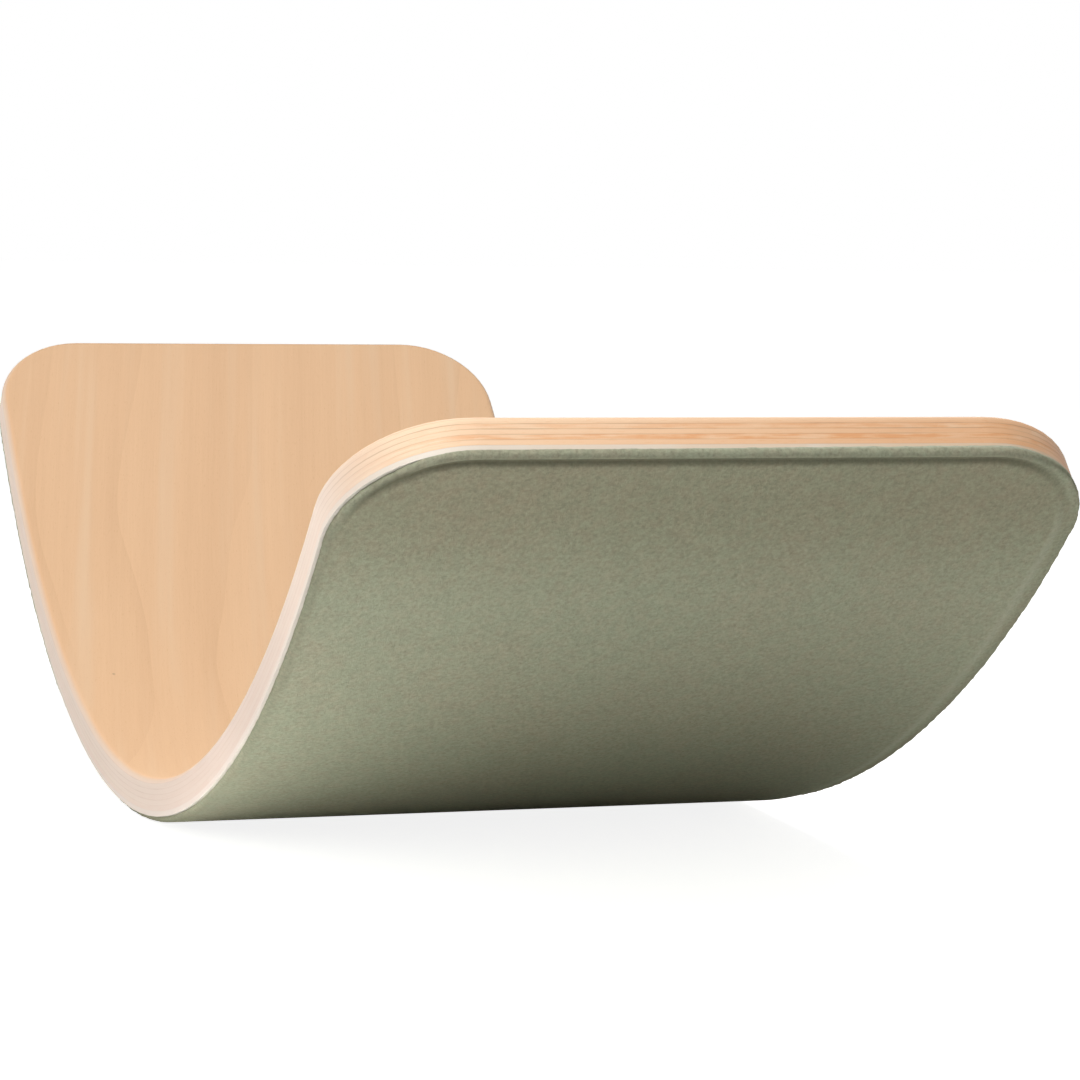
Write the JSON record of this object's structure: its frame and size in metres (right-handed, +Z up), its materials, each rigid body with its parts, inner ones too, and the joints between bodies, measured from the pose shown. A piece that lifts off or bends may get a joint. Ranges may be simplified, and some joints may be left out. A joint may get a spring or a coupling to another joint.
{
  "type": "balance board",
  "caption": "Bent plywood balance board with rounded corners and a felt-covered rocking face, for standing, sitting and rocking, or turned over as a bridge.",
  "frame": {"origin": "on the floor under the middle of the board, where the felt touches it at rest", "axes": "+X along the board, +Y across it, +Z up"},
  "size_m": [0.8922, 0.3, 0.2098],
  "materials": {
    "beech_face": "clear satin lacquer over pale beech",
    "beech_core": "sanded and lacquered veneer edges",
    "pale_face": "paler veneer, seen only at its edge",
    "felt": "sage green pressed wool felt"
  },
  "bodies": {
    "root": {"top_face_veneer": "beech_face", "core_veneer_1": "beech_core", "core_veneer_2": "beech_core", "core_veneer_3": "beech_core", "core_veneer_4": "beech_core", "core_veneer_5": "beech_core", "bottom_face_veneer": "pale_face", "felt_cover": "felt"}
  },
  "joints": []
}
